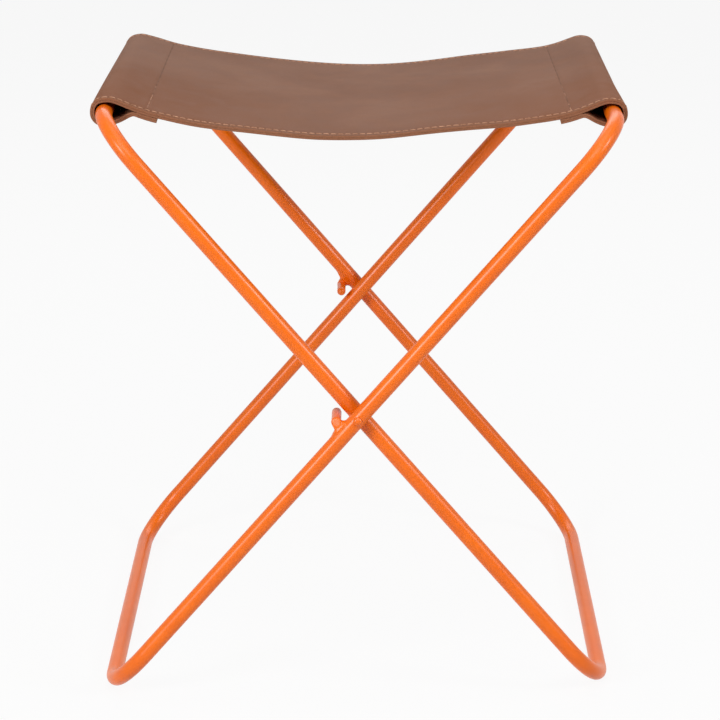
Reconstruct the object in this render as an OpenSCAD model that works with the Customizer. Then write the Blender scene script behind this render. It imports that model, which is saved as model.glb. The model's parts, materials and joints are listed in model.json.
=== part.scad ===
// Folding stool: two crossed frames of bent round bar and a sewn leather sling.
// X runs from one seat bar to the other, Y from front to back, Z up.
// The origin is on the floor under the middle of the stool, which stands open.

/* [Frames] */
// Diameter of the round bar that both frames are bent from
rod_d = 12; // [10:0.5:14]
// Distance from the pivot to the centre of a seat bar or a foot bar
leg_reach = 280; // [250:5:320]
// Distance between the centres of the front and the rear leg of one frame
frame_depth = 370; // [330:5:420]
// Radius of the four bends of a frame, at the centre of the bar
bend_r = 40; // [32:1:50]
// Lean of each frame from upright when the stool is open
open_angle = 40.7; // [36:0.1:45]

/* [Pivot rivets] */
// Diameter of the rivet's shank
rivet_d = 5; // [4:0.1:6]
// Diameter of the rivet's domed head
rivet_head_d = 6.4; // [6.2:0.1:8]
// Height of the dome on the head
rivet_dome_h = 1.7; // [1:0.1:2.5]
// Depth of the flat seat that is cut into the outer leg under the head
rivet_seat_depth = 1.2; // [0.6:0.1:1.8]
// Depth to which the shank is pressed into the inner leg
rivet_grip = 9; // [6:0.5:10]
// Thickness of the washer between the crossing legs
washer_t = 2.1; // [1:0.1:4]
// Outer diameter of the washer
washer_d = 9; // [8:0.5:12]
// Play on each side of the washer
washer_play = 0.2; // [0.1:0.05:0.4]

/* [Stop hooks] */
// Diameter of the peg
peg_d = 7; // [5:0.5:9]
// How far the peg reaches past the other frame's leg
peg_past = 5.5; // [3:0.5:12]
// Gap between the peg and the other frame's leg when the stool is open
stop_gap = 3.2; // [1:0.1:5]
// Gap between the peg and its own leg, which the welded web fills
web_gap = 1.1; // [0:0.1:2]
// How far the web's two faces lie behind the front and the rear of its leg
web_inset = 0.25; // [0.1:0.05:2]
// Radius of the web's fillet on the side away from the pivot
web_outer_r = 7; // [4:0.5:12]
// Distance of the web's straight edge, towards the pivot, from the peg's centre
web_rise = 2; // [1:0.1:2.4]
// Radius of the corner between that edge and the leg
web_inner_r = 2; // [1:0.25:2.5]
// Length along the leg over which the web's two faces run out beyond its fillets
web_runout = 4; // [1:0.5:8]

/* [Leather sling] */
// Thickness of the outer leather
outer_t = 1.6; // [1:0.1:2.5]
// Thickness of the leather lining
lining_t = 1.6; // [1:0.1:2.5]
// How much shorter than a seat bar's straight stretch the sling is at each edge
sling_end_gap = 4; // [4:1:40]
// How far the sling sits behind the middle of the frames
sling_shift = 3; // [0:0.5:3]
// Drop of the sling's middle below the centres of the seat bars
seat_dip = 16.1; // [10:0.1:30]
// Drop of the sling over the flaps' cut ends below the centres of the seat bars
neck_dip = 1; // [0:0.1:3]
// Gap between the lining and the seat bar round its outside and underside
loop_gap = 0.5; // [0.5:0.1:1.5]
// Gap between the lining and the height of the bar's top, where the sling is highest
crown_gap = 1.8; // [1:0.1:3]
// Distance of the sling's highest line from the bar's centre, towards the middle
crown_inset = 3; // [1:0.5:5]
// Distance from the seat bar's centre to the point where the flap meets the sling
flap_join = 24; // [22:1:30]
// Distance from the seat bar's centre to the flap's cut end
flap_reach = 38.5; // [36:0.5:60]
// Gap between the flap and the sling above it
flap_gap = 0.2; // [0.2:0.1:1]
// Rise of the flap where it leaves the underside of the bar, in degrees
flap_rise = 8; // [4:1:20]

/* [Stitching] */
// Width of a line of thread
thread_w = 0.9; // [0.5:0.1:1.5]
// Height of the thread above the leather
thread_h = 0.4; // [0.2:0.1:0.4]
// Distance of the edge seams from the sling's front and rear edges
edge_inset = 5; // [3:0.5:12]
// Distance of the cross seams from the flaps' cut ends
cross_inset = 7; // [3:0.5:10]

/* [Hidden] */
$fn = 64;

POWDER_COAT = "#F06414";
LEATHER = "#8C6450";
LINING = "#7A5644";
THREAD = "#C8957A";
NYLON = "#202022";

rod_r = rod_d / 2;
peg_r = peg_d / 2;
// running clearance of the shank in the outer leg and the washer, and its tight fit in the inner leg
run_clearance = 0.05;
tight_clearance = 0.02;
// radial room round the head in its flat seat, play under it, and room beyond the shank's end
head_room = 0.1;
head_play = 0.1;
tip_gap = 0.2;
// how far the web's fillets run into the leg and the peg, so that they meet at an angle
fillet_merge = 0.1;
// gap between thread and leather, and between crossing lines of thread
thread_gap = 0.05;
seam_crossing_gap = 0.5;

// the frames lie side by side along Y, one bar and one washer apart
frame_shift = rod_d + washer_t + 2 * washer_play;
pivot_z = leg_reach * cos(open_angle) + rod_r;
bar_x = leg_reach * sin(open_angle);
bar_z = pivot_z + leg_reach * cos(open_angle);

sling_width = frame_depth - 2 * bend_r - 2 * sling_end_gap;
// the two layers of leather meet on one line, which the stations below follow
loop_r = rod_r + loop_gap + lining_t;
flap_drop = 2 * lining_t + flap_gap;

// reach of the curves' handles, as shares of the stretch they span
NECK_EASE = 0.59;
CROWN_EASE = 0.18;
TURN_EASE = 0.7;
RISE_EASE = 0.6;
JOIN_EASE = 0.25;

// counts of straight steps along the parts of that line
SEAT_STEPS = 12;
NECK_STEPS = 12;
CROWN_STEPS = 10;
LOOP_STEPS = 10;
FLAP_RISE_STEPS = 10;
FLAP_END_STEPS = 4;

// Frames

// A closed loop of round bar round the pivot, standing upright in the YZ plane
module bar_loop() {
    corner_y = frame_depth / 2 - bend_r;
    corner_z = leg_reach - bend_r;
    for (side = [-1, 1]) {
        translate([0, side * frame_depth / 2, -corner_z]) cylinder(h = 2 * corner_z, r = rod_r);
        translate([0, corner_y, side * leg_reach]) rotate([90, 0, 0]) cylinder(h = 2 * corner_y, r = rod_r);
    }
    for (turn = [0, 180]) rotate([turn, 0, 0]) {
        translate([0, corner_y, corner_z]) bend();
        mirror([0, 1, 0]) translate([0, corner_y, corner_z]) bend();
    }
}

// A quarter bend from the leg's direction to the bar's direction
module bend() {
    rotate([90, 0, 90]) rotate_extrude(angle = 90) translate([bend_r, 0]) circle(r = rod_r);
}

// One frame. Its front leg is the outer one of a crossing, with a through hole and a flat seat for
// the rivet's head; its rear leg is the inner one of the other crossing, with a blind hole
module frame() {
    grip_y = frame_depth / 2 + rod_r - rivet_grip - tip_gap;
    difference() {
        bar_loop();
        translate([0, -frame_depth / 2, 0]) {
            rotate([90, 0, 0]) cylinder(h = 2 * rod_d, r = rivet_d / 2 + run_clearance, center = true);
            head_seat();
        }
        translate([0, grip_y, 0]) rotate([-90, 0, 0])
            cylinder(h = rod_d, r = rivet_d / 2 + tight_clearance);
    }
}

// The room of the rivet's head in the front of a leg, and in the web beside it
module head_seat() {
    rotate([90, 0, 0]) translate([0, 0, rod_r - rivet_seat_depth])
        cylinder(h = rod_d, r = rivet_head_d / 2 + head_room);
}

// Puts a piece drawn round the upright frame where the right frame carries it
module on_right_frame() {
    translate([0, -frame_shift / 2, pivot_z]) rotate([0, open_angle, 0]) children();
}

// The left frame is the same piece, turned over front to back about the pivot's height
module on_left_frame() {
    translate([0, 0, pivot_z]) rotate([180, 0, 0]) translate([0, 0, -pivot_z]) on_right_frame() children();
}

module right_frame() {
    color(POWDER_COAT) on_right_frame() frame();
}

module left_frame() {
    color(POWDER_COAT) on_left_frame() frame();
}

// Pivot

// A domed head whose flat underside is at y = 0 and whose dome points along -Y
module rivet_head() {
    dome_r = (pow(rivet_head_d / 2, 2) + pow(rivet_dome_h, 2)) / (2 * rivet_dome_h);
    rotate([90, 0, 0]) {
        cylinder(h = rivet_seat_depth, r = rivet_head_d / 2);
        translate([0, 0, rivet_seat_depth]) intersection() {
            translate([0, 0, rivet_dome_h - dome_r]) sphere(r = dome_r);
            cylinder(h = 2 * rivet_dome_h, r = rivet_head_d);
        }
    }
}

// A rivet along Y for the front pair of crossing legs, whose middle is the origin: the outer leg
// turns on it behind the head, and the inner leg holds its shank
module rivet() {
    head_y = -frame_shift / 2 - rod_r + rivet_seat_depth - head_play;
    tip_y = frame_shift / 2 - rod_r + rivet_grip;
    translate([0, head_y, 0]) {
        rotate([-90, 0, 0]) cylinder(h = tip_y - head_y, r = rivet_d / 2);
        rivet_head();
    }
}

module washer() {
    rotate([90, 0, 0]) difference() {
        cylinder(h = washer_t, d = washer_d, center = true);
        cylinder(h = 2 * washer_t, r = rivet_d / 2 + run_clearance, center = true);
    }
}

module front_rivet() {
    color(POWDER_COAT) translate([0, -frame_depth / 2, pivot_z]) rivet();
}

module rear_rivet() {
    color(POWDER_COAT) translate([0, frame_depth / 2, pivot_z]) rotate([180, 0, 0]) rivet();
}

module front_washer() {
    color(NYLON) translate([0, -frame_depth / 2, pivot_z]) washer();
}

module rear_washer() {
    color(NYLON) translate([0, frame_depth / 2, pivot_z]) washer();
}

// Stop hooks

// The outline of the web between leg and peg: x is the distance from the leg's axis, y the
// distance down the leg from the pivot
module web_outline(peg_x, peg_y) {
    fillet_x = rod_r - fillet_merge + web_outer_r;
    fillet_y = peg_y + sqrt(pow(peg_r - fillet_merge + web_outer_r, 2) - pow(fillet_x - peg_x, 2));
    edge_y = peg_y - web_rise;
    corner = [rod_r - fillet_merge + web_inner_r, edge_y - web_inner_r];
    difference() {
        polygon([[0, corner[1] - web_runout], [corner[0] - web_inner_r, corner[1]], corner,
            [corner[0], edge_y], [peg_x, edge_y], [peg_x, peg_y], [fillet_x, fillet_y],
            [fillet_x - web_outer_r, fillet_y], [0, fillet_y + web_runout]]);
        translate(corner) circle(r = web_inner_r);
        translate([fillet_x, fillet_y]) circle(r = web_outer_r);
    }
}

// The hook on the front leg of the upright frame: a web as thick as the leg, and a peg that starts
// at the web's front face and reaches behind the other frame's leg
module stop_hook() {
    web_t = rod_d - 2 * web_inset;
    peg_x = rod_r + web_gap + peg_r;
    peg_y = (rod_r + stop_gap + peg_r - peg_x * cos(2 * open_angle)) / sin(2 * open_angle);
    peg_length = frame_shift + rod_r + peg_past - peg_r;
    translate([0, -frame_depth / 2, 0]) difference() {
        union() {
            translate([-peg_x, 0, -peg_y]) rotate([-90, 0, 0]) {
                translate([0, 0, -web_t / 2]) cylinder(h = web_t / 2 + peg_length, r = peg_r);
                translate([0, 0, peg_length]) sphere(r = peg_r);
            }
            mirror([1, 0, 0]) rotate([-90, 0, 0])
                linear_extrude(height = web_t, center = true) web_outline(peg_x, peg_y);
        }
        cylinder(h = 4 * leg_reach, r = rod_r, center = true);
        head_seat();
    }
}

module front_stop_hook() {
    color(POWDER_COAT) on_right_frame() stop_hook();
}

module rear_stop_hook() {
    color(POWDER_COAT) on_left_frame() stop_hook();
}

// Leather sling: each station is [x, z, normal x, normal z] on the line between the two layers,
// and the normal points to the outer leather

function reversed(list) = [for (i = [len(list) - 1:-1:0]) list[i]];
function unit(v) = v / norm(v);
function station(p, direction) = let (t = unit(direction)) [p[0], p[1], -t[1], t[0]];
function mirrored(path) = [for (s = path) [-s[0], s[1], -s[2], s[3]]];
function offset_line(path, d) = [for (s = path) [s[0] + d * s[2], s[1] + d * s[3]]];

function cubic(p, t) = let (u = 1 - t)
    u * u * u * p[0] + 3 * u * u * t * p[1] + 3 * u * t * t * p[2] + t * t * t * p[3];
function cubic_slope(p, t) = let (u = 1 - t)
    u * u * (p[1] - p[0]) + 2 * u * t * (p[2] - p[1]) + t * t * (p[3] - p[2]);
function cubic_station(p, t) = station(cubic(p, t), cubic_slope(p, t));

// The hanging middle, a parabola out to the points over the flaps' cut ends
neck_x = bar_x - flap_reach;
neck_z = bar_z - neck_dip;
sag_curve = (seat_dip - neck_dip) / pow(neck_x, 2);
function seat_station(x) = station([x, bar_z - seat_dip + sag_curve * x * x], [1, 2 * sag_curve * x]);

// The neck that rises from there to the sling's highest line, and the crown over the bar
crown_x = bar_x - crown_inset;
crown_z = bar_z + rod_r + crown_gap + lining_t;
neck_points = [
    [neck_x, neck_z],
    [neck_x, neck_z] + NECK_EASE * (crown_x - neck_x) * unit([1, 2 * sag_curve * neck_x]),
    [crown_x - CROWN_EASE * (crown_x - neck_x), crown_z],
    [crown_x, crown_z]];
crown_points = [
    [crown_x, crown_z],
    [crown_x + TURN_EASE * (bar_x + loop_r - crown_x), crown_z],
    [bar_x + loop_r, bar_z + TURN_EASE * (crown_z - bar_z)],
    [bar_x + loop_r, bar_z]];
function loop_station(a) = [bar_x + loop_r * sin(a), bar_z + loop_r * cos(a), sin(a), cos(a)];

// Share of the neck that lies below a distance from the middle, found by halving
function neck_share(x, low = 0, high = 1, n = 24) = let (t = (low + high) / 2)
    n == 0 ? t : cubic(neck_points, t)[0] > x ? neck_share(x, low, t, n - 1)
        : neck_share(x, t, high, n - 1);
function neck_station(t) = cubic_station(neck_points, t);
function flap_station(t) = let (s = neck_station(t))
    [s[0] - flap_drop * s[2], s[1] - flap_drop * s[3], -s[2], -s[3]];

// The free stretch of the flap, from the bar's underside up to the sling
join_share = neck_share(bar_x - flap_join);
loop_end = loop_station(180 + flap_rise);
join = flap_station(join_share);
rise_span = norm([loop_end[0] - join[0], loop_end[1] - join[1]]);
rise_points = [
    [loop_end[0], loop_end[1]],
    [loop_end[0], loop_end[1]] + RISE_EASE * rise_span * [-cos(flap_rise), sin(flap_rise)],
    [join[0], join[1]] - JOIN_EASE * rise_span * [join[3], -join[2]],
    [join[0], join[1]]];

half_path = concat(
    [for (i = [0:SEAT_STEPS - 1]) seat_station(neck_x * i / SEAT_STEPS)],
    [for (i = [0:NECK_STEPS - 1]) neck_station(i / NECK_STEPS)],
    [for (i = [0:CROWN_STEPS - 1]) cubic_station(crown_points, i / CROWN_STEPS)],
    [for (i = [0:LOOP_STEPS]) loop_station(90 + (90 + flap_rise) * i / LOOP_STEPS)],
    [for (i = [1:FLAP_RISE_STEPS]) cubic_station(rise_points, i / FLAP_RISE_STEPS)],
    [for (i = [1:FLAP_END_STEPS]) flap_station(join_share * (1 - i / FLAP_END_STEPS))]);
sling_path = concat(
    reversed(mirrored([for (i = [1:len(half_path) - 1]) half_path[i]])),
    half_path);

// A strip that follows the path between two offsets from it, of one width along Y
module strip(path, inner, outer, width) {
    translate([0, sling_shift, 0]) rotate([90, 0, 0]) linear_extrude(height = width, center = true)
        polygon(concat(offset_line(path, outer), reversed(offset_line(path, inner))));
}

module seat_leather() {
    color(LEATHER) strip(sling_path, 0, outer_t, sling_width);
}

module seat_lining() {
    color(LINING) strip(sling_path, -lining_t, 0, sling_width);
}

// Stitching: thread lies on the outer leather and on the lining's underside

// An edge seam, from one flap's end over both seat bars to the other's
module edge_seam(y) {
    outside = [for (i = [1:len(sling_path) - 2]) sling_path[i]];
    underside = [for (s = sling_path) if (s[3] > 0 && abs(s[0]) < neck_x - thread_w) s];
    outer = outer_t + thread_gap;
    inner = -lining_t - thread_gap;
    color(THREAD) translate([0, y, 0]) {
        strip(outside, outer, outer + thread_h, thread_w);
        strip(underside, inner - thread_h, inner, thread_w);
    }
}

// A cross seam, which sews the flap of the right-hand side up to the sling
module cross_seam() {
    seam_x = neck_x + cross_inset;
    length = sling_width - 2 * edge_inset - thread_w - 2 * seam_crossing_gap;
    shares = [neck_share(seam_x - thread_w / 2), neck_share(seam_x + thread_w / 2)];
    outer = outer_t + thread_gap;
    strip([for (t = shares) neck_station(t)], outer, outer + thread_h, length);
    strip([for (t = shares) flap_station(t)], outer, outer + thread_h, length);
}

module front_edge_stitching() {
    edge_seam(-sling_width / 2 + edge_inset);
}

module rear_edge_stitching() {
    edge_seam(sling_width / 2 - edge_inset);
}

module left_cross_stitching() {
    color(THREAD) mirror([1, 0, 0]) cross_seam();
}

module right_cross_stitching() {
    color(THREAD) cross_seam();
}

right_frame();
left_frame();
front_rivet();
rear_rivet();
front_washer();
rear_washer();
front_stop_hook();
rear_stop_hook();
seat_leather();
seat_lining();
front_edge_stitching();
rear_edge_stitching();
left_cross_stitching();
right_cross_stitching();
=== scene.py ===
"""The looks of a folding stool: painted frames of bent round bar and a sewn leather sling.

Sizes are in metres, with x to the right, y to the rear and z up.
"""
import json
import math

import bpy
import numpy as np
from mathutils import Matrix, Vector


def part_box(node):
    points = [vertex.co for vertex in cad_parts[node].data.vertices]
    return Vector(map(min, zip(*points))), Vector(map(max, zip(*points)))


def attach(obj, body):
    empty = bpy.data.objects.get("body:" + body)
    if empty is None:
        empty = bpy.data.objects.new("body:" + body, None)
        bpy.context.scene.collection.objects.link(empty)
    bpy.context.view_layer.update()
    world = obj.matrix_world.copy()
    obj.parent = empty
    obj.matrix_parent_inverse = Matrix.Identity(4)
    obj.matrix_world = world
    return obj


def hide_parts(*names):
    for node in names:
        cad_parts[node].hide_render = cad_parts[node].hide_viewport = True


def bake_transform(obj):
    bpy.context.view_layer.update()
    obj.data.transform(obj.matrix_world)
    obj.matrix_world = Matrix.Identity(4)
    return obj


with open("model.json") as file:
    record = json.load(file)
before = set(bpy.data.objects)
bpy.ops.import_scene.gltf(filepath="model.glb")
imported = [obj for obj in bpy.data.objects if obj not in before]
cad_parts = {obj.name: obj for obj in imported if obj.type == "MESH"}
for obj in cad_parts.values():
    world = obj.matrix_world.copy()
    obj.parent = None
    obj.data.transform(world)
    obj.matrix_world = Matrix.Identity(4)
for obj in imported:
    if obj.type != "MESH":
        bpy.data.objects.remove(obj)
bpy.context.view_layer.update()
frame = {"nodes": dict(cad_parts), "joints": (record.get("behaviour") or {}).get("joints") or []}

# Sizes that the CAD source sets
ROD_R = 0.006
OUTER_T = 0.0016
LINING_T = 0.0016
SEAT_DIP = 0.0161
NECK_DIP = 0.001
LOOP_GAP = 0.0005
CROWN_GAP = 0.0018
CROWN_INSET = 0.003
FLAP_JOIN = 0.024
FLAP_REACH = 0.0385
FLAP_GAP = 0.0002
FLAP_RISE = math.radians(8)
NECK_EASE = 0.59
CROWN_EASE = 0.18
TURN_EASE = 0.7
RISE_EASE = 0.6
JOIN_EASE = 0.25
EDGE_INSET = 0.005
CROSS_INSET = 0.007
OPEN_ANGLE = math.radians(40.7)
PEG_R = 0.0035
PEG_PAST = 0.0055
STOP_GAP = 0.0032
WEB_GAP = 0.0011
WEB_RISE = 0.002
WEB_OUTER_R = 0.007
WEB_INNER_R = 0.002
WEB_RUNOUT = 0.004
FILLET_MERGE = 0.0001

# Places that the frame gives
PIVOT_Z = frame["joints"][0]["pos_m"][2]
frame_low, frame_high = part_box("right_frame")
BAR_X = frame_high.x - ROD_R
BAR_Z = frame_high.z - ROD_R
FRONT_LEG_Y = frame_low.y + ROD_R
REAR_LEG_Y = frame_high.y - ROD_R
FRAME_SHIFT = -(FRONT_LEG_Y + REAR_LEG_Y)
sling_low, sling_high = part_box("seat_leather")
# How much wider the leather is at the rear than in the CAD source, as in the photograph
REAR_OVERHANG = 0.004
SLING_Y = (sling_low.y + sling_high.y + REAR_OVERHANG) / 2
HALF_WIDTH = (sling_high.y - sling_low.y + REAR_OVERHANG) / 2

# Leather
EDGE_ROUND = 0.00025
EDGE_STEP, END_STEP = 15, 18  # degrees from one of the rounding's lines to the next
CUT_FROM = 0.2  # share of the rounding from which an end looks cut
LAYER_GAP = 0.00004  # between the layers
# Spacings of the mesh's lines along and across the sling, and its closer lines round each seam
OUTER_SPACING = (0.00125, 0.004)
LINING_SPACING = (0.0025, 0.008)
CLOSEST_EVEN = 0.6  # share of a spacing within which a closer line takes an even line's place
NEAR_EDGE_SEAM = np.array([-2.2, -1.5, -1.0, -0.6, -0.3, 0, 0.3, 0.6, 1.0, 1.5, 2.2]) * 0.001
NEAR_CROSS_SEAM = np.linspace(-0.0045, 0.0045, 21)

# Uneven sag of the used leather along the front and the rear edge, in millimetres:
# an even part, and hills as (height, middle, width) along x
FRONT_SAG, REAR_SAG = -1.1, 1.7
FRONT_HILLS = ((3.1, 68, 50), (-0.45, -119, 18), (-0.35, -36, 18), (0.5, -80, 18), (0.4, 125, 14))
REAR_HILLS = ((0.8, -80, 40), (1.4, 82, 38), (-0.6, 0, 30))
# Where each fades out towards the bars, and the free leather too, as (start, run)
FRONT_FADE = (148, 32)
REAR_FADE_RIGHT, REAR_FADE_LEFT = (118, 45), (160, 24)
FREE_FADE = (130, 40)
# The front edge's downward curl, and how near to the edge it starts and ends
EDGE_CURL, CURL_START, CURL_RUN = -0.65, 8, 9
# Faint waves, as (height, radians per millimetre of x, radians per metre of y, phase)
WAVES = ((0.16, 0.061, 15, 0.0), (0.12, 0.037, -26, 1.3))
MM = 1000
# The loops' outer sides, in metres: how far inside the bar's line their shift starts and its run,
# how far out each stands at the front, and how much less at the rear
PULL_START, PULL_RUN = 0.012, 0.016
LEFT_OUT, LEFT_LESS = 0.0004, 0.0022
RIGHT_OUT, RIGHT_LESS = 0.0005, 0.0013
# How the cut edges wander, in metres, as (distance, radians per metre, phase)
WANDER = ((0.00025, 73, 0.0), (0.00018, 131, 2.0))

# Stitches
STITCH_PITCH = 0.0052
STITCH_LENGTH = 0.0046
STITCH_PROUD = 0.00012
STITCH_DIVE = 0.0007  # of a stitch's ends, into the needle holes
THREAD_R = 0.00040
THREAD_RINGS, THREAD_SIDES = 11, 10
PLY_DEPTH, PLY_TURNS = 0.10, 3.2
THREAD_FLAT = 0.9  # the thread's height by its width
THIN_END = 0.35  # share that its radius loses at a stitch's ends
THREAD_SUNK = 0.00018
CROSS_SUNK = 0.00032  # further down in the cross seams
SEAM_SLANT = 0.04  # of each stitch against the line of its seam
SEAM_END = 0.003  # from an edge seam's last stitch to the leather's end
CROSS_END = 0.002  # from a cross seam's last stitch to the edge seam
# The seams' lines in the leather
HOLE_SHARE = 0.35  # share of their depth that comes and goes with the needle holes
GROOVE_DEPTH = 0.00028
CROSS_GROOVE_DEPTH = 0.00048
GROOVE_WIDTH = 0.0009
CROSS_GROOVE_WIDTH = 0.0014
# How much nearer to the bars the cross seams lie than their place in the CAD source
NEARER_FRONT = 0.0020
NEARER_REAR = 0.0007

# Camera, found by fitting the frames' outlines in the photograph
CAMERA_PLACE = (0.00671, -2.09251, 0.80411)
CAMERA_YAW = -0.00274
CAMERA_PITCH = -0.27756
CAMERA_ROLL = 0.00264
CAMERA_LENS = 138.36
SENSOR = 36.0


# Path of the sling: the line between its two layers, seen from the front

LOOP_R = ROD_R + LOOP_GAP + LINING_T
FLAP_DROP = 2 * LINING_T + FLAP_GAP
NECK_X = BAR_X - FLAP_REACH
CROWN_X = BAR_X - CROWN_INSET
CROWN_Z = BAR_Z + ROD_R + CROWN_GAP + LINING_T
SAG_CURVE = (SEAT_DIP - NECK_DIP) / NECK_X ** 2
# Points on the seat's half, on each curve from there to the flap, on the flap, and on a curve to search
SEAT_POINTS = 400
CURVE_POINTS = 160
FLAP_POINTS = 60
SEARCH_POINTS = 2000


def with_normal(points, directions):
    """Rows of x, z, normal x, normal z for points and the directions that the path has there."""
    tangent = directions / np.linalg.norm(directions, axis=1, keepdims=True)
    return np.column_stack([points, -tangent[:, 1], tangent[:, 0]])


def cubic(corners, t):
    """A cubic curve between the first and the last of four points."""
    p0, p1, p2, p3 = (np.array(corner) for corner in corners)
    t = np.atleast_1d(t)[:, None]
    u = 1 - t
    points = u ** 3 * p0 + 3 * u * u * t * p1 + 3 * u * t * t * p2 + t ** 3 * p3
    return with_normal(points, u * u * (p1 - p0) + 2 * u * t * (p2 - p1) + t * t * (p3 - p2))


def seat_stretch(x):
    """The sagging seat, from the middle to the point over the flap's cut end."""
    return with_normal(np.column_stack([x, BAR_Z - SEAT_DIP + SAG_CURVE * x * x]),
                       np.column_stack([np.ones_like(x), 2 * SAG_CURVE * x]))


def neck_stretch(t):
    """The rise from the point over the flap's cut end to the sling's highest line."""
    span = CROWN_X - NECK_X
    steep = math.atan(2 * SAG_CURVE * NECK_X)
    start = np.array([NECK_X, BAR_Z - NECK_DIP])
    return cubic([start, start + NECK_EASE * span * np.array([math.cos(steep), math.sin(steep)]),
                  (CROWN_X - CROWN_EASE * span, CROWN_Z), (CROWN_X, CROWN_Z)], t)


def crown_stretch(t):
    """The turn over the bar, down to its outer side."""
    outside = BAR_X + LOOP_R
    return cubic([(CROWN_X, CROWN_Z), (CROWN_X + TURN_EASE * (outside - CROWN_X), CROWN_Z),
                  (outside, BAR_Z + TURN_EASE * (CROWN_Z - BAR_Z)), (outside, BAR_Z)], t)


def loop_stretch(turn):
    """The round stretch against the bar, by the angle from the bar's top."""
    return np.column_stack([BAR_X + LOOP_R * np.sin(turn), BAR_Z + LOOP_R * np.cos(turn),
                            np.sin(turn), np.cos(turn)])


def flap_stretch(t):
    """The turned-back flap, which lies under the neck."""
    neck = neck_stretch(t)
    return np.column_stack([neck[:, :2] - FLAP_DROP * neck[:, 2:], -neck[:, 2:]])


def neck_share(x):
    """Share of the neck's curve at which it is at x."""
    shares = np.linspace(0, 1, SEARCH_POINTS)
    return float(np.interp(x, neck_stretch(shares)[:, 0], shares))


def rise_stretch(t):
    """The free stretch of the flap, from the bar's underside up to the sling."""
    start = loop_stretch(np.array([math.pi + FLAP_RISE]))[0]
    join = flap_stretch(neck_share(BAR_X - FLAP_JOIN))[0]
    span = np.linalg.norm(start[:2] - join[:2])
    leaving = np.array([-math.cos(FLAP_RISE), math.sin(FLAP_RISE)])
    arriving = np.array([join[3], -join[2]])
    return cubic([start[:2], start[:2] + RISE_EASE * span * leaving,
                  join[:2] - JOIN_EASE * span * arriving, join[:2]], t)


class SlingPath:
    """The path by its length s, which is 0 in the middle of the seat and positive to the right."""

    def __init__(self):
        shares = np.linspace(0, 1, CURVE_POINTS)
        turns = np.linspace(math.pi / 2, math.pi + FLAP_RISE, CURVE_POINTS)
        self.flap_shares = np.linspace(neck_share(BAR_X - FLAP_JOIN), 0, FLAP_POINTS)
        stretches = [seat_stretch(np.linspace(0, NECK_X, SEAT_POINTS)), neck_stretch(shares)[1:],
                     crown_stretch(shares)[1:], loop_stretch(turns[1:]),
                     rise_stretch(shares)[1:], flap_stretch(self.flap_shares)[1:]]
        half = np.vstack(stretches)
        steps = np.linalg.norm(np.diff(half[:, :2], axis=0), axis=1)
        along = np.concatenate([[0], np.cumsum(steps)])
        seat = len(stretches[0]) + len(stretches[1])
        self.seat_x, self.seat_s = half[:seat, 0], along[:seat]
        self.flap_s = along[-len(self.flap_shares):]
        self.end = along[-1]
        self.s = np.concatenate([-along[:0:-1], along])
        self.rows = np.vstack([half[:0:-1] * np.array([-1, 1, -1, 1]), half])

    def at(self, s):
        """Columns x, z, normal x, normal z at the lengths s."""
        x, z, nx, nz = (np.interp(s, self.s, column) for column in self.rows.T)
        length = np.hypot(nx, nz)
        return x, z, nx / length, nz / length

    def seat_length(self, x):
        return float(np.interp(x, self.seat_x, self.seat_s))

    def flap_length(self, share):
        return float(np.interp(-share, -self.flap_shares, self.flap_s))


path = SlingPath()
SEAM_Y = HALF_WIDTH - EDGE_INSET
SEAM_X = NECK_X + CROSS_INSET
SEAT_SEAM_S = path.seat_length(SEAM_X)
FLAP_SEAM_S = path.flap_length(neck_share(SEAM_X))


def smooth_step(t):
    t = np.clip(t, 0, 1)
    return t * t * (3 - 2 * t)


def hill(x, middle, width):
    return np.exp(-((x - middle) / width) ** 2)


def fade(distance, start, run):
    return 1 - smooth_step((distance - start) / run)


def hills(x, even, places):
    total = even
    for rise, middle, width in places:
        total = total + rise * hill(x, middle, width)
    return total


def slump(x, y):
    """Height that the used leather adds to the even curve of the path, next to nothing over the bars."""
    x = x * MM
    front = hills(x, FRONT_SAG, FRONT_HILLS) * fade(np.abs(x), *FRONT_FADE)
    rear = hills(x, REAR_SAG, REAR_HILLS) * fade(x, *REAR_FADE_RIGHT) * fade(-x, *REAR_FADE_LEFT)
    rearward = smooth_step((y / HALF_WIDTH + 1.1) / 2.2)
    free = fade(np.abs(x), *FREE_FADE)
    curl = EDGE_CURL * smooth_step((-y * MM - HALF_WIDTH * MM + CURL_START) / CURL_RUN)
    waves = sum(rise * np.sin(x * along + y * across + phase) for rise, along, across, phase in WAVES)
    return (front * (1 - rearward) + rear * rearward + free * (curl + waves)) / MM


def pull(x, y):
    """Distance by which the loops' outer sides stand further out, which is below 0 towards the rear."""
    over = smooth_step((np.abs(x) - BAR_X + PULL_START) / PULL_RUN)
    rearward = np.clip((y / HALF_WIDTH + 1) / 2, 0, 1)
    left = LEFT_OUT - LEFT_LESS * smooth_step(rearward * 0.9) * rearward ** 0.2
    right = RIGHT_OUT - RIGHT_LESS * smooth_step(rearward * 3)
    return over * np.where(x < 0, -left, right)


def place(s, y, height):
    """Points of the sling, by s along the path, y from its middle line and height from between its layers."""
    x, z, nx, nz = path.at(s)
    edge = np.abs(y / HALF_WIDTH) ** 6
    wander = edge * sum(distance * np.sin(s * turns + phase) for distance, turns, phase in WANDER)
    lift = slump(x, y)
    return np.stack([x + nx * height + pull(x, y), SLING_Y + y + wander, z + nz * height + lift], -1)


# Meshes

def new_object(name, points, faces):
    mesh = bpy.data.meshes.new(name)
    mesh.from_pydata(points.tolist(), [], faces)
    mesh.validate()
    mesh.polygons.foreach_set("use_smooth", np.ones(len(mesh.polygons), bool))
    piece = bpy.data.objects.new(name, mesh)
    bpy.context.scene.collection.objects.link(piece)
    return piece


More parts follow.
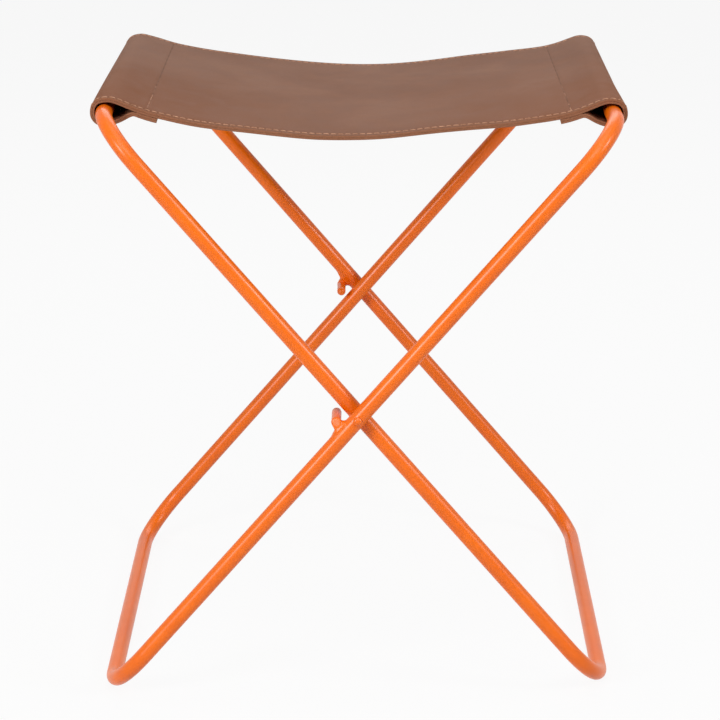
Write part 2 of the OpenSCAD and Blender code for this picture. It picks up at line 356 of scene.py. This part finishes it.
def store(piece, name, values):
    """Keeps a number or a vector for each vertex, which the materials read."""
    vector = values.ndim == 2
    kind, key = ("FLOAT_VECTOR", "vector") if vector else ("FLOAT", "value")
    attribute = piece.data.attributes.new(name, kind, "POINT")
    attribute.data.foreach_set(key, values.astype(np.float32).ravel())


def cross_line(seam_s, y):
    """Length along the path at which a cross seam lies. The seam on the flap stays under the seat's."""
    nearer = NEARER_REAR + (NEARER_FRONT - NEARER_REAR) * (1 - y / HALF_WIDTH) / 2
    return seam_s + nearer if seam_s < FLAP_SEAM_S else seam_s - nearer


def groove(s, y, cross_s):
    """Depth of the seams' lines in the leather, deepest at the needle holes."""
    def line(distance, along, deep, wide):
        holes = 1 - HOLE_SHARE + HOLE_SHARE * np.cos(2 * math.pi * along / STITCH_PITCH)
        return deep * np.exp(-(distance / wide) ** 2) * holes

    depth = line(np.abs(y) - SEAM_Y, s, GROOVE_DEPTH, GROOVE_WIDTH)
    for seam_s in cross_s:
        inside = np.abs(y) < SEAM_Y
        distance = np.abs(s) - cross_line(seam_s, y)
        depth = np.maximum(depth, line(distance, y, CROSS_GROOVE_DEPTH, CROSS_GROOVE_WIDTH) * inside)
    return depth


def layer(name, back, face, columns, stations, grooved, cross_s):
    """A closed strip of leather between two heights, with rounded edges and ends.

    grooved is 1 where its face has the seams' lines, and 0 where neither side has them.
    """
    middle = (back + face) / 2
    half = (face - back) / 2
    corner = np.radians(np.arange(EDGE_STEP, 90, EDGE_STEP))
    rise = half - EDGE_ROUND + EDGE_ROUND * np.cos(corner)
    reach = EDGE_ROUND * np.sin(corner)
    flat = HALF_WIDTH - EDGE_ROUND
    # The ring round the strip: face from front to rear, rear edge, back from rear to front, front edge
    ring_y = np.concatenate([columns, flat + reach, (flat + reach)[::-1], columns[::-1],
                             -flat - reach, (-flat - reach)[::-1]])
    ring_h = np.concatenate([np.full(len(columns), half), rise, -rise[::-1],
                             np.full(len(columns), -half), -rise, rise[::-1]])
    # 1 on the face, -1 on the back and 0 on the edges
    turned = np.concatenate([np.ones(len(columns)), np.zeros(len(rise) * 2), -np.ones(len(columns)),
                             np.zeros(len(rise) * 2)])
    cut = (turned == 0).astype(float)
    ends = np.radians(np.arange(90, 0, -END_STEP))
    end_shrink = EDGE_ROUND * (1 - np.cos(ends))
    end_s = path.end - EDGE_ROUND + EDGE_ROUND * np.sin(ends)
    all_s = np.concatenate([-end_s, stations, end_s[::-1]])
    shrink = np.concatenate([end_shrink, np.zeros(len(stations)), end_shrink[::-1]])
    s, y = np.meshgrid(all_s, ring_y, indexing="ij")
    narrow = shrink[:, None] / HALF_WIDTH
    y = y * (1 - narrow)
    height = ring_h[None, :] * (1 - shrink[:, None] / half)
    if grooved != 0:
        dent = groove(s, y, cross_s)
        height = height - np.where(turned[None, :] == grooved, grooved * dent, 0)
    points = place(s, y, middle + height)
    rows, ring = s.shape
    index = np.arange(rows * ring).reshape(rows, ring)
    following = np.roll(index, -1, axis=1)
    quads = np.stack([index[:-1], index[1:], following[1:], following[:-1]], -1).reshape(-1, 4).tolist()
    count, side = len(columns), len(rise) * 2
    for row, flip in ((0, False), (rows - 1, True)):
        top = index[row, :count]
        bottom = index[row, count + side:2 * count + side][::-1]
        rear = index[row, count - 1:count + side + 1]
        front = np.concatenate([index[row, 2 * count + side - 1:], index[row, :1]])
        caps = [[top[i], top[i + 1], bottom[i + 1], bottom[i]] for i in range(count - 1)]
        caps += [rear.tolist(), front.tolist()]
        quads += [[int(v) for v in (cap if not flip else cap[::-1])] for cap in caps]
    piece = new_object(name, points.reshape(-1, 3), quads)
    store(piece, "leather_place", np.stack([s, y, middle + height], -1).reshape(-1, 3))
    cut_ends = (shrink > CUT_FROM * EDGE_ROUND).astype(float)[:, None]
    store(piece, "cut_edge", np.maximum(cut[None, :], cut_ends).reshape(-1))
    return piece


def lines_around(centres, near, spacing, low, high):
    """Even lines from low to high, with closer ones round each centre."""
    even = np.linspace(low, high, round((high - low) / spacing) + 1)
    extra = np.concatenate([c + near for c in centres]) if len(centres) else np.array([])
    least = CLOSEST_EVEN * spacing
    keep = even[[not len(extra) or np.min(np.abs(extra - v)) > least or v in (low, high) for v in even]]
    return np.unique(np.round(np.concatenate([keep, extra]), 7))


def make_layers():
    flat = HALF_WIDTH - EDGE_ROUND
    end = path.end - EDGE_ROUND
    edge_seams = (-SEAM_Y, SEAM_Y)
    cross_seams = (-FLAP_SEAM_S, -SEAT_SEAM_S, SEAT_SEAM_S, FLAP_SEAM_S)
    columns = lines_around(edge_seams, NEAR_EDGE_SEAM, OUTER_SPACING[1], -flat, flat)
    stations = lines_around(cross_seams, NEAR_CROSS_SEAM, OUTER_SPACING[0], -end, end)
    outer = layer("sling_outer_leather", 0, OUTER_T, columns, stations, 1, (SEAT_SEAM_S, FLAP_SEAM_S))
    columns = lines_around(edge_seams, NEAR_EDGE_SEAM[::2], LINING_SPACING[1], -flat, flat)
    stations = lines_around((), NEAR_CROSS_SEAM, LINING_SPACING[0], -end, end)
    lining = layer("sling_lining", -LINING_T, -LAYER_GAP, columns, stations, 0, ())
    return outer, lining


def thread_mesh(name, stitches):
    """Short lengths of two-ply thread. Each stitch is a function from (along, across, height) to points."""
    rings, sides = THREAD_RINGS, THREAD_SIDES
    along = np.linspace(-1, 1, rings)
    turn = np.linspace(0, 2 * math.pi, sides, endpoint=False)
    dive = np.abs(along) ** 5
    u, phi = np.meshgrid(along, turn, indexing="ij")
    ply = 1 + PLY_DEPTH * np.cos(2 * (phi - u * PLY_TURNS))
    radius = THREAD_R * ply * (1 - THIN_END * dive[:, None])
    across = radius * np.cos(phi)
    height = STITCH_PROUD - STITCH_DIVE * dive[:, None] + radius * np.sin(phi) * THREAD_FLAT
    points, faces = [], []
    for number, stitch in enumerate(stitches):
        points.append(stitch(u * STITCH_LENGTH / 2, across, height).reshape(-1, 3))
        first = number * rings * sides
        for i in range(rings - 1):
            for j in range(sides):
                a, b = first + i * sides + j, first + i * sides + (j + 1) % sides
                faces.append([a, b, b + sides, a + sides])
        faces.append([first + j for j in reversed(range(sides))])
        faces.append([first + (rings - 1) * sides + j for j in range(sides)])
    return new_object(name, np.concatenate(points), faces)


def stitch_middles(half_length):
    """Middles of the stitches of a seam that reaches half_length to both sides of 0."""
    reach = int(half_length / STITCH_PITCH - 0.5)
    return [(k + 0.5) * STITCH_PITCH for k in range(-reach - 1, reach + 1)]


def edge_stitches(side):
    """The front seam's stitches (side -1) or the rear seam's (side 1), over the whole sling and under it."""
    slant = SEAM_SLANT * side
    top = OUTER_T - THREAD_SUNK
    stitches = []
    for s in stitch_middles(path.end - SEAM_END):
        stitches.append(lambda u, v, h, s=s: place(s + u, side * SEAM_Y + v + slant * u, top + h))
    for s in stitch_middles(path.seat_length(NECK_X) - SEAM_END):
        stitches.append(lambda u, v, h, s=s: place(s + u, side * SEAM_Y + v + slant * u, -LINING_T - h))
    return stitches


def cross_stitches(side):
    """The left flap's stitches (side -1) or the right flap's (side 1), on the seat and on the flap."""
    top = OUTER_T - THREAD_SUNK - CROSS_SUNK
    stitches = []
    for seam_s in (SEAT_SEAM_S, FLAP_SEAM_S):
        for y in stitch_middles(SEAM_Y - CROSS_END):
            stitches.append(lambda u, v, h, y=y, seam_s=seam_s: place(
                side * cross_line(seam_s, y + u) + v + SEAM_SLANT * u, y + u, top + h))
    return stitches


# Hooks: a peg on a web whose face falls away to the peg, welded to the leg, as a smooth union of distances

PEG_X = ROD_R + WEB_GAP + PEG_R
PEG_Z = (ROD_R + STOP_GAP + PEG_R - PEG_X * math.cos(2 * OPEN_ANGLE)) / math.sin(2 * OPEN_ANGLE)
PEG_LENGTH = FRAME_SHIFT + ROD_R + PEG_PAST - PEG_R
FILLET_X = ROD_R - FILLET_MERGE + WEB_OUTER_R
FILLET_Z = PEG_Z + math.sqrt((PEG_R - FILLET_MERGE + WEB_OUTER_R) ** 2 - (FILLET_X - PEG_X) ** 2)
EDGE_Z = PEG_Z - WEB_RISE
HOOK_SUNK = 0.00004
WELD_REACH = 0.0035  # how far past the leg's middle the weld runs round it
# Their mesh
HOOK_STEP = 0.0004
EVEN_PASSES, EVEN_SHARE = 6, 0.3  # how often its points are evened out, and by what share
SURFACE_PASSES = 3  # moves back to the surface after each of these
SLOPE_STEP, LEAST_SLOPE = 0.02, 0.05  # share of a step for measuring the slope, and the least square of it
HOOK_MARGIN, END_MARGIN = 0.002, 0.001  # free space round the hook
# The web's face: its highest line, how it falls away to the peg and to the leg,
# and how it sinks into the leg below the peg and above the edge
FACE_X = -0.0058
FACE_HALF = 0.0043
PEG_SLOPE = 0.40
LEG_SLOPE = 0.45
FACE_SINK = 0.004
SINK_BELOW = (0.004, 0.011)
SINK_ABOVE = (0.0005, 0.004)
# Sizes of the smooth unions: the web's outer fillet, the corner by the leg, its top edge, the welds,
# the rims, and the joint of web and peg
OUTER_BLEND = 0.0085
CORNER_BLEND = 0.004
TOP_BLEND = 0.0040
WELD_BLEND = 0.0026
RIM_BLEND = 0.0013
PEG_BLEND = 0.0008


def distance_to_segment(p, a, b):
    ab = b - a
    t = np.clip(((p - a) @ ab) / (ab @ ab), 0, 1)
    return np.linalg.norm(p - (a + t[..., None] * ab), axis=-1)


def smooth_union(a, b, k):
    h = np.clip(0.5 + 0.5 * (b - a) / k, 0, 1)
    return b * (1 - h) + a * h - k * h * (1 - h)


def smooth_cut(a, b, k):
    return -smooth_union(-a, -b, k)


def web_half(x, z):
    """Half of the web's thickness, which dies away where its outline runs out along the leg."""
    below = smooth_step((-z - PEG_Z - SINK_BELOW[0]) / SINK_BELOW[1])
    above = smooth_step((z + EDGE_Z - SINK_ABOVE[0]) / SINK_ABOVE[1])
    return (FACE_HALF - PEG_SLOPE * np.maximum(FACE_X - x, 0) - LEG_SLOPE * np.maximum(x - FACE_X, 0)
            - FACE_SINK * np.maximum(below, above))


def hook_field(p):
    """Below 0 inside the hook, in the upright frame round the leg's axis and the pivot's height."""
    x, y, z = p[..., 0], p[..., 1], p[..., 2]
    leg = np.hypot(x, y) - (ROD_R - HOOK_SUNK)
    face = np.abs(y) - web_half(x, z)
    root = np.array([-PEG_X, -ROD_R - PEG_R, -PEG_Z])
    tip = np.array([-PEG_X, PEG_LENGTH, -PEG_Z])
    face_at_peg = FACE_HALF - PEG_SLOPE * np.maximum(FACE_X - x, 0)
    peg = smooth_cut(distance_to_segment(p, root, tip) - PEG_R, -y - face_at_peg, RIM_BLEND)
    disc = np.hypot(x + PEG_X, z + PEG_Z) - PEG_R
    slant = -(x + ROD_R) * WEB_RUNOUT + (z + EDGE_Z - WEB_INNER_R) * ROD_R
    slant = slant / math.hypot(ROD_R, WEB_RUNOUT)
    edge = smooth_union(z + EDGE_Z, slant, CORNER_BLEND)
    sunk = WELD_BLEND * smooth_step((-z - FILLET_Z + WEB_RUNOUT / 2) / (WEB_RUNOUT * 1.5))
    flank = smooth_union(sunk - x - ROD_R, disc, OUTER_BLEND)
    web = smooth_cut(flank, smooth_cut(edge, face, TOP_BLEND), RIM_BLEND)
    joined = smooth_union(smooth_union(web, peg, PEG_BLEND), leg, WELD_BLEND)
    beyond = np.maximum(-FILLET_Z - WEB_RUNOUT - z, z + EDGE_Z - WEB_INNER_R - WEB_RUNOUT)
    return np.maximum(joined, np.maximum(beyond, x - WELD_REACH))


def surface_net(field, low, high, step):
    """Quads where the field changes sign, with their corners moved on to the surface."""
    axes = [np.arange(a, b, step) for a, b in zip(low, high)]
    grid = np.stack(np.meshgrid(*axes, indexing="ij"), -1)
    inside = field(grid) < 0
    nx, ny, nz = (n - 1 for n in inside.shape)
    corners = sum(inside[i:i + nx, j:j + ny, k:k + nz].astype(int)
                  for i in (0, 1) for j in (0, 1) for k in (0, 1))
    active = (corners > 0) & (corners < 8)
    number = np.full(active.shape, -1)
    number[active] = np.arange(active.sum())
    points = grid[:-1, :-1, :-1][active] + step / 2
    faces = []
    for axis in range(3):
        ahead = np.roll(inside, -1, axis)
        crossing = inside != ahead
        index = np.argwhere(crossing)
        limit = np.array(number.shape)
        index = index[np.all((index >= 1) & (index < limit), axis=1)]
        u, v = (axis + 1) % 3, (axis + 2) % 3
        eu, ev = np.eye(3, dtype=int)[u], np.eye(3, dtype=int)[v]
        quad = np.stack([number[tuple((index - a * eu - b * ev).T)]
                         for a, b in ((1, 1), (0, 1), (0, 0), (1, 0))], -1)
        outward = inside[tuple(index.T)]
        quad[~outward] = quad[~outward][:, ::-1]
        faces.append(quad)
    faces = np.concatenate(faces)
    for _ in range(EVEN_PASSES):
        points = on_surface(field, relaxed(points, faces, EVEN_SHARE), step)
    return points, faces


def relaxed(points, faces, share):
    """Points moved part of the way to the middle of their neighbours."""
    total = np.zeros_like(points)
    count = np.zeros(len(points))
    for a in range(4):
        for b in ((a + 1) % 4, (a + 3) % 4):
            np.add.at(total, faces[:, a], points[faces[:, b]])
            np.add.at(count, faces[:, a], 1)
    return points + share * (total / count[:, None] - points)


def on_surface(field, points, step):
    """Points moved along the field's slope to where it is 0."""
    small = step * SLOPE_STEP
    for _ in range(SURFACE_PASSES):
        slope = np.stack([(field(points + small * e) - field(points - small * e)) / (2 * small)
                          for e in np.eye(3)], -1)
        size = np.maximum((slope ** 2).sum(-1), LEAST_SLOPE)
        move = -(field(points) / size)[:, None] * slope
        points = points + np.clip(move, -step, step)
    return points


def make_hooks():
    low = (-PEG_X - PEG_R - HOOK_MARGIN, -ROD_R - HOOK_MARGIN, -FILLET_Z - WEB_RUNOUT - END_MARGIN)
    high = (ROD_R, PEG_LENGTH + PEG_R + HOOK_MARGIN, -EDGE_Z + WEB_INNER_R + WEB_RUNOUT + END_MARGIN)
    points, faces = surface_net(hook_field, low, high, HOOK_STEP)
    on_right = Matrix.Translation((0, FRONT_LEG_Y, PIVOT_Z)) @ Matrix.Rotation(OPEN_ANGLE, 4, "Y")
    turned_over = (Matrix.Translation((0, 0, PIVOT_Z)) @ Matrix.Rotation(math.pi, 4, "X")
                   @ Matrix.Translation((0, 0, -PIVOT_Z)))
    hooks = []
    for name, node, body, matrix in (
            ("front_hook_weld", "front_stop_hook", "right_frame", on_right),
            ("rear_hook_weld", "rear_stop_hook", "left_frame", turned_over @ on_right)):
        piece = new_object(name, points, faces.tolist())
        piece.data.transform(matrix)
        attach(piece, body)
        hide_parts(node)
        hooks.append(piece)
    return hooks


# Materials

CUT_EDGE = (0.300, 0.132, 0.072, 1)


class Nodes:
    """A small helper that adds shader nodes and links them by name."""

    def __init__(self, name):
        self.material = bpy.data.materials.new(name)
        self.material.use_nodes = True
        self.tree = self.material.node_tree
        self.tree.nodes.clear()
        self.output = self.add("ShaderNodeOutputMaterial")

    def add(self, kind, **settings):
        node = self.tree.nodes.new(kind)
        for key, value in settings.items():
            if hasattr(node, key):
                setattr(node, key, value)
            else:
                node.inputs[key.replace("_", " ")].default_value = value
        return node

    def link(self, source, target):
        self.tree.links.new(source, target)

    def feed(self, socket, value):
        """value is a number, a colour or another node's socket."""
        if isinstance(value, bpy.types.NodeSocket):
            self.link(value, socket)
        else:
            socket.default_value = value

    def noise(self, vector, scale, detail=3.0, roughness=0.5, distortion=0.0):
        node = self.add("ShaderNodeTexNoise", Scale=scale, Detail=detail, Roughness=roughness,
                        Distortion=distortion)
        self.link(vector, node.inputs["Vector"])
        return node.outputs["Fac"]

    def spread(self, value, low, high, to_low=0.0, to_high=1.0):
        node = self.add("ShaderNodeMapRange")
        for key, number in (("From Min", low), ("From Max", high), ("To Min", to_low), ("To Max", to_high)):
            node.inputs[key].default_value = number
        self.link(value, node.inputs["Value"])
        return node.outputs["Result"]

    def mix(self, share, a, b):
        """a and b are colours or sockets, and share is a number or a socket."""
        node = self.add("ShaderNodeMix", data_type="RGBA")
        for number, value in ((0, share), (6, a), (7, b)):
            self.feed(node.inputs[number], value)
        return node.outputs[2]

    def math(self, operation, a, b):
        node = self.add("ShaderNodeMath", operation=operation)
        for socket, value in zip(node.inputs, (a, b)):
            self.feed(socket, value)
        return node.outputs[0]

    def bump(self, height, strength, distance, before=None):
        node = self.add("ShaderNodeBump", Strength=strength, Distance=distance)
        self.link(height, node.inputs["Height"])
        if before is not None:
            self.link(before, node.inputs["Normal"])
        return node.outputs["Normal"]

    def principled(self, base, roughness, normal, **constants):
        node = self.add("ShaderNodeBsdfPrincipled", **constants)
        for socket, source in (("Base Color", base), ("Roughness", roughness), ("Normal", normal)):
            self.link(source, node.inputs[socket])
        self.link(node.outputs["BSDF"], self.output.inputs["Surface"])


def darker(colour, share):
    return [c * share for c in colour[:3]] + [1]


def powder_coat(name, rough_low, rough_high):
    """Glossy orange coat with faint clouds and the slight waves of sprayed powder."""
    n = Nodes(name)
    place_node = n.add("ShaderNodeTexCoord").outputs["Object"]
    cloud = n.noise(place_node, 35, 2)
    base = n.mix(n.spread(cloud, 0.35, 0.65), (0.900, 0.162, 0.001, 1), (0.860, 0.146, 0.002, 1))
    peel = n.noise(place_node, 260, 2, 0.45)
    roughness = n.spread(n.noise(place_node, 120, 3), 0.3, 0.7, rough_low, rough_high)
    n.principled(base, roughness, n.bump(peel, 0.008, 0.0002), Specular_IOR_Level=0.40)
    return n.material


def nylon():
    n = Nodes("nylon")
    place_node = n.add("ShaderNodeTexCoord").outputs["Object"]
    base = n.mix(n.noise(place_node, 500), (0.010, 0.010, 0.011, 1), (0.020, 0.020, 0.022, 1))
    n.principled(base, n.spread(n.noise(place_node, 900), 0.3, 0.7, 0.45, 0.6),
                 n.bump(n.noise(place_node, 2500), 0.1, 0.0003))
    return n.material


def leather(name, light, dark, painted_low_sheen_colour, edge, grain_strength, roughness_low, roughness_high):
    """Cloudy brown leather with painted reflection: a warmer, more saturated brown towards its front corners
    and a greyer brown elsewhere. This stands in for the grey sheen of reflected light, which is weaker at the
    front corners.
    """
    n = Nodes(name)
    spot = n.add("ShaderNodeAttribute", attribute_name="leather_place").outputs["Vector"]
    cut = n.add("ShaderNodeAttribute", attribute_name="cut_edge").outputs["Fac"]
    clouds = n.noise(spot, 11, 3, 0.5, 0.4)
    blotches = n.noise(spot, 45, 4, 0.55, 0.6)
    fibres = n.noise(spot, 420, 4, 0.6)
    tone = n.math("ADD", n.math("MULTIPLY", clouds, 0.55), n.math("MULTIPLY", blotches, 0.45))
    colour = n.mix(n.spread(tone, 0.40, 0.60), dark, light)
    parts = n.add("ShaderNodeSeparateXYZ")
    n.link(spot, parts.inputs[0])
    # Painted reflection: towards the front corners the colour turns to a warmer, more saturated brown,
    # standing in for the weaker grey sheen of reflected light there
    outward = n.spread(n.math("ABSOLUTE", parts.outputs["X"], 0.0), 0.03, 0.17)
    forward = n.spread(n.math("ADD", parts.outputs["Y"], n.math("MULTIPLY", clouds, 0.09)), 0.12, -0.10)
    painted_low_sheen_share = n.math("ADD", n.math("MULTIPLY", n.math("MULTIPLY", outward, forward), 0.9),
                     n.math("MULTIPLY", forward, 0.25))
    colour = n.mix(painted_low_sheen_share, colour, painted_low_sheen_colour)
    colour = n.mix(n.spread(fibres, 0.3, 0.7, 0.0, 0.16), colour, darker(dark, 0.72))
    layered = n.mix(n.spread(n.noise(spot, 1500, 2), 0.35, 0.65), edge, darker(edge, 0.8))
    colour = n.mix(n.math("MULTIPLY", cut, 0.85), colour, layered)
    cells = n.add("ShaderNodeTexVoronoi", feature="DISTANCE_TO_EDGE", Scale=1150.0)
    warp = n.add("ShaderNodeVectorMath", operation="ADD")
    shift = n.add("ShaderNodeTexNoise", Scale=600.0, Detail=2.0)
    n.link(spot, shift.inputs["Vector"])
    scaled = n.add("ShaderNodeVectorMath", operation="SCALE")
    scaled.inputs["Scale"].default_value = 0.0007
    n.link(shift.outputs["Color"], scaled.inputs[0])
    n.link(spot, warp.inputs[0])
    n.link(scaled.outputs["Vector"], warp.inputs[1])
    n.link(warp.outputs["Vector"], cells.inputs["Vector"])
    pebbles = n.spread(cells.outputs["Distance"], 0.0, 0.16)
    creases = n.noise(spot, 160, 5, 0.6, 0.8)
    normal = n.bump(pebbles, grain_strength, 0.00012)
    normal = n.bump(creases, 0.22, 0.0006, normal)
    normal = n.bump(fibres, 0.18, 0.0003, normal)
    roughness = n.spread(n.math("ADD", n.math("MULTIPLY", blotches, 0.6), n.math("MULTIPLY", cut, 0.2)),
                         0.2, 0.6, roughness_low, roughness_high)
    n.principled(colour, roughness, normal, Specular_IOR_Level=0.05)
    return n.material


def thread(name, light, dark, worn, patch_scale):
    """Waxed thread, which turns to the leather's colour from the front towards the rear by the share worn."""
    n = Nodes(name)
    place_node = n.add("ShaderNodeTexCoord").outputs["Object"]
    patches = n.noise(place_node, patch_scale)
    base = n.mix(n.spread(patches, 0.40, 0.60), light, dark)
    parts = n.add("ShaderNodeSeparateXYZ")
    n.link(place_node, parts.inputs[0])
    rearward = n.math("ADD", parts.outputs["Y"], n.math("MULTIPLY", patches, 0.12))
    base = n.mix(n.spread(rearward, -0.07, 0.05, 0.0, worn), base, darker(dark, 0.8))
    roughness = n.spread(patches, 0.3, 0.7, 0.6, 0.75)
    grain = n.bump(n.noise(place_node, 6000, 2), 0.3, 0.0001)
    n.principled(base, roughness, grain, Specular_IOR_Level=0.15)
    return n.material


def floor_material():
    """White by the share FLOOR_WHITE for a camera, mirror or window ray, and a pale floor for the lamps."""
    n = Nodes("studio_floor")
    lit = n.add("ShaderNodeBsdfDiffuse", Color=(0.75, 0.75, 0.75, 1))
    rays = n.add("ShaderNodeLightPath")
    seen = n.math("MAXIMUM", rays.outputs["Is Camera Ray"], rays.outputs["Is Glossy Ray"])
    seen = n.math("MAXIMUM", seen, rays.outputs["Is Transmission Ray"])
    white = n.add("ShaderNodeEmission", Color=(1, 1, 1, 1), Strength=1.0)
    mixer = n.add("ShaderNodeMixShader")
    n.link(n.math("MULTIPLY", seen, FLOOR_WHITE), mixer.inputs[0])
    n.link(lit.outputs[0], mixer.inputs[1])
    n.link(white.outputs[0], mixer.inputs[2])
    n.link(mixer.outputs[0], n.output.inputs["Surface"])
    return n.material


# Studio

# The floor: its side, its quads, how far it lies below the feet, and its share of white
FLOOR_SIZE = 16.0
FLOOR_CELLS = 8
FLOOR_Z = -0.0002
FLOOR_WHITE = 0.92
# The world: the grey that a camera or mirror sees, which meets the far floor's, and what lights the object
WORLD_SEEN = (0.925, 0.925, 0.925, 1)
WORLD_LIT = (1.0, 0.99, 0.98, 1)
WORLD_LIT_STRENGTH = 0.095
# Name, place, target, size and watts
LAMPS = (
    ("top_softbox", (0.0, -0.30, 2.3), (0, 0, 0.3), (1.4, 1.0), 7.5),
    ("front_softbox", (0.0, -1.6, 2.0), (0, 0, 0.25), (1.6, 1.0), 16.5),
    ("rear_softbox", (0.0, 1.5, 1.8), (0, 0, 0.25), (1.6, 1.0), 12),
    ("left_softbox", (-1.50, -1.72, 0.99), (0, 0, 0.25), (0.74, 0.62), 28),
    ("right_softbox", (1.85, -0.99, 1.41), (0, 0, 0.25), (0.64, 0.56), 20),
)


def make_floor():
    cells = FLOOR_CELLS
    ticks = np.linspace(-FLOOR_SIZE / 2, FLOOR_SIZE / 2, cells + 1)
    x, y = np.meshgrid(ticks, ticks, indexing="ij")
    points = np.stack([x, y, np.full_like(x, FLOOR_Z)], -1).reshape(-1, 3)
    index = np.arange((cells + 1) ** 2).reshape(cells + 1, cells + 1)
    faces = np.stack([index[:-1, :-1], index[1:, :-1], index[1:, 1:], index[:-1, 1:]], -1).reshape(-1, 4)
    floor = new_object("studio_floor", points, faces.tolist())
    floor.data.materials.append(floor_material())


def make_world():
    world = bpy.data.worlds.new("studio")
    bpy.context.scene.world = world
    world.use_nodes = True
    tree = world.node_tree
    tree.nodes.clear()
    rays = tree.nodes.new("ShaderNodeLightPath")
    mirrored, seen = tree.nodes.new("ShaderNodeMath"), tree.nodes.new("ShaderNodeMath")
    mirrored.operation = seen.operation = "MAXIMUM"
    tree.links.new(rays.outputs["Is Glossy Ray"], mirrored.inputs[0])
    tree.links.new(rays.outputs["Is Transmission Ray"], mirrored.inputs[1])
    tree.links.new(rays.outputs["Is Camera Ray"], seen.inputs[0])
    tree.links.new(mirrored.outputs[0], seen.inputs[1])
    lit = tree.nodes.new("ShaderNodeBackground")
    lit.inputs["Color"].default_value = WORLD_LIT
    lit.inputs["Strength"].default_value = WORLD_LIT_STRENGTH
    white = tree.nodes.new("ShaderNodeBackground")
    white.inputs["Color"].default_value = WORLD_SEEN
    white.inputs["Strength"].default_value = 1.0
    mixer = tree.nodes.new("ShaderNodeMixShader")
    output = tree.nodes.new("ShaderNodeOutputWorld")
    tree.links.new(seen.outputs[0], mixer.inputs[0])
    tree.links.new(lit.outputs[0], mixer.inputs[1])
    tree.links.new(white.outputs[0], mixer.inputs[2])
    tree.links.new(mixer.outputs[0], output.inputs["Surface"])


def make_lamp(name, place_m, target, size, power):
    lamp = bpy.data.lights.new(name, "AREA")
    lamp.shape = "RECTANGLE"
    lamp.size, lamp.size_y = size
    lamp.energy = power
    holder = bpy.data.objects.new(name, lamp)
    bpy.context.scene.collection.objects.link(holder)
    holder.location = place_m
    holder.rotation_euler = (Vector(target) - Vector(place_m)).to_track_quat("-Z", "Y").to_euler()


def make_camera():
    data = bpy.data.cameras.new("camera")
    data.sensor_width = SENSOR
    data.lens = CAMERA_LENS
    data.clip_start, data.clip_end = 0.05, 60
    camera = bpy.data.objects.new("camera", data)
    bpy.context.scene.collection.objects.link(camera)
    ahead = Vector((math.sin(CAMERA_YAW), math.cos(CAMERA_YAW), 0))
    right = Vector((math.cos(CAMERA_YAW), -math.sin(CAMERA_YAW), 0))
    forward = ahead * math.cos(CAMERA_PITCH) + Vector((0, 0, math.sin(CAMERA_PITCH)))
    up = Vector((0, 0, math.cos(CAMERA_PITCH))) - ahead * math.sin(CAMERA_PITCH)
    side = right * math.cos(CAMERA_ROLL) + up * math.sin(CAMERA_ROLL)
    top = up * math.cos(CAMERA_ROLL) - right * math.sin(CAMERA_ROLL)
    turn = Matrix((side, top, -forward)).transposed()
    camera.matrix_world = Matrix.Translation(CAMERA_PLACE) @ turn.to_4x4()
    bpy.context.scene.camera = camera


make_camera()
make_floor()
make_world()
for lamp_row in LAMPS:
    make_lamp(*lamp_row)

coat = powder_coat("powder_coat", rough_low=0.29, rough_high=0.34)
rivet_coat = powder_coat("rivet_powder_coat", rough_low=0.16, rough_high=0.20)
washer_material = nylon()
for node_name, material in (
        ("right_frame", coat), ("left_frame", coat), ("front_rivet", rivet_coat), ("rear_rivet", rivet_coat),
        ("front_washer", washer_material), ("rear_washer", washer_material)):
    slots = frame["nodes"][node_name].data.materials
    slots.clear()
    slots.append(material)
for hook in make_hooks():
    hook.data.materials.append(coat)

outer_leather, lining_leather = make_layers()
# The third colour of each leather is painted reflection: its brown where less grey sheen is reflected,
# towards the front corners
outer_leather.data.materials.append(leather(
    "leather", light=(0.256, 0.129, 0.083, 1), dark=(0.204, 0.094, 0.056, 1), painted_low_sheen_colour=(0.224, 0.084, 0.038, 1),
    edge=CUT_EDGE, grain_strength=0.30, roughness_low=0.55, roughness_high=0.75))
lining_leather.data.materials.append(leather(
    "lining", light=(0.225, 0.105, 0.062, 1), dark=(0.180, 0.082, 0.047, 1), painted_low_sheen_colour=(0.205, 0.090, 0.050, 1),
    edge=CUT_EDGE, grain_strength=0.12, roughness_low=0.66, roughness_high=0.80))
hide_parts("seat_leather")
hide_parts("seat_lining")

clean_thread = thread(
    "thread", light=(0.56, 0.30, 0.185, 1), dark=(0.40, 0.20, 0.115, 1), worn=0.0, patch_scale=300)
worn_thread = thread(
    "worn_thread", light=(0.54, 0.29, 0.18, 1), dark=(0.19, 0.09, 0.056, 1), worn=1.0, patch_scale=110)
seams = []
for seam_name, node_name, seam_stitches, seam_thread in (
        ("front_edge_stitches", "front_edge_stitching", edge_stitches(-1), clean_thread),
        ("rear_edge_stitches", "rear_edge_stitching", edge_stitches(1), clean_thread),
        ("left_cross_stitches", "left_cross_stitching", cross_stitches(-1), worn_thread),
        ("right_cross_stitches", "right_cross_stitching", cross_stitches(1), worn_thread)):
    seam = thread_mesh(seam_name, seam_stitches)
    seam.data.materials.append(seam_thread)
    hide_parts(node_name)
    seams.append(seam)

for soft_piece in (outer_leather, lining_leather, *seams):
    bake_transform(soft_piece)

bpy.context.scene.view_settings.view_transform = "Standard"
